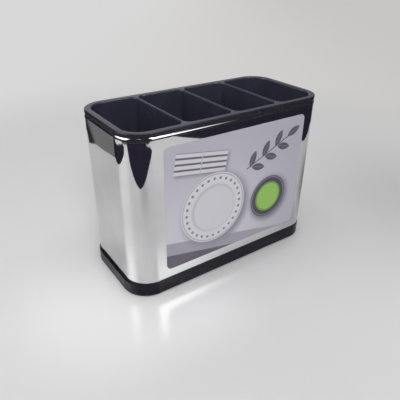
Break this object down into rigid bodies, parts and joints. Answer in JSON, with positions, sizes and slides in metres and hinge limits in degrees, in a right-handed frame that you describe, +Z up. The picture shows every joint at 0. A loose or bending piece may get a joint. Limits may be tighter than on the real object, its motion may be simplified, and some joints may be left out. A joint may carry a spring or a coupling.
{
  "type": "cutlery holder",
  "caption": "Free-standing cutlery holder: polished steel sleeve on a black base tray, with a lift-out black insert divided into open compartments side by side.",
  "frame": {"origin": "on the standing surface, under the middle of the holder", "axes": "+X along the long side to the right seen from the labelled front, +Y from the front to the back, +Z up out of the compartments"},
  "size_m": [0.1836, 0.0848, 0.1339],
  "materials": {
    "base_plastic": "satin",
    "foot_rubber": "matte",
    "polished_steel": "polished",
    "label_print": "satin",
    "insert_plastic": "satin"
  },
  "bodies": {
    "base": {"base_tray": "base_plastic", "foot_front_left": "foot_rubber", "foot_front_right": "foot_rubber", "foot_rear_left": "foot_rubber", "foot_rear_right": "foot_rubber"},
    "sleeve": {"steel_sleeve": "polished_steel", "front_label": "label_print"},
    "insert": {"compartment_insert": "insert_plastic"}
  },
  "joints": [
    {"name": "sleeve_lift", "type": "slide", "parent": "base", "child": "sleeve", "axis": [0, 0, 1], "range_m": [0, 0.06]},
    {"name": "insert_lift", "type": "slide", "parent": "sleeve", "child": "insert", "axis": [0, 0, 1], "range_m": [0, 0.135]}
  ]
}
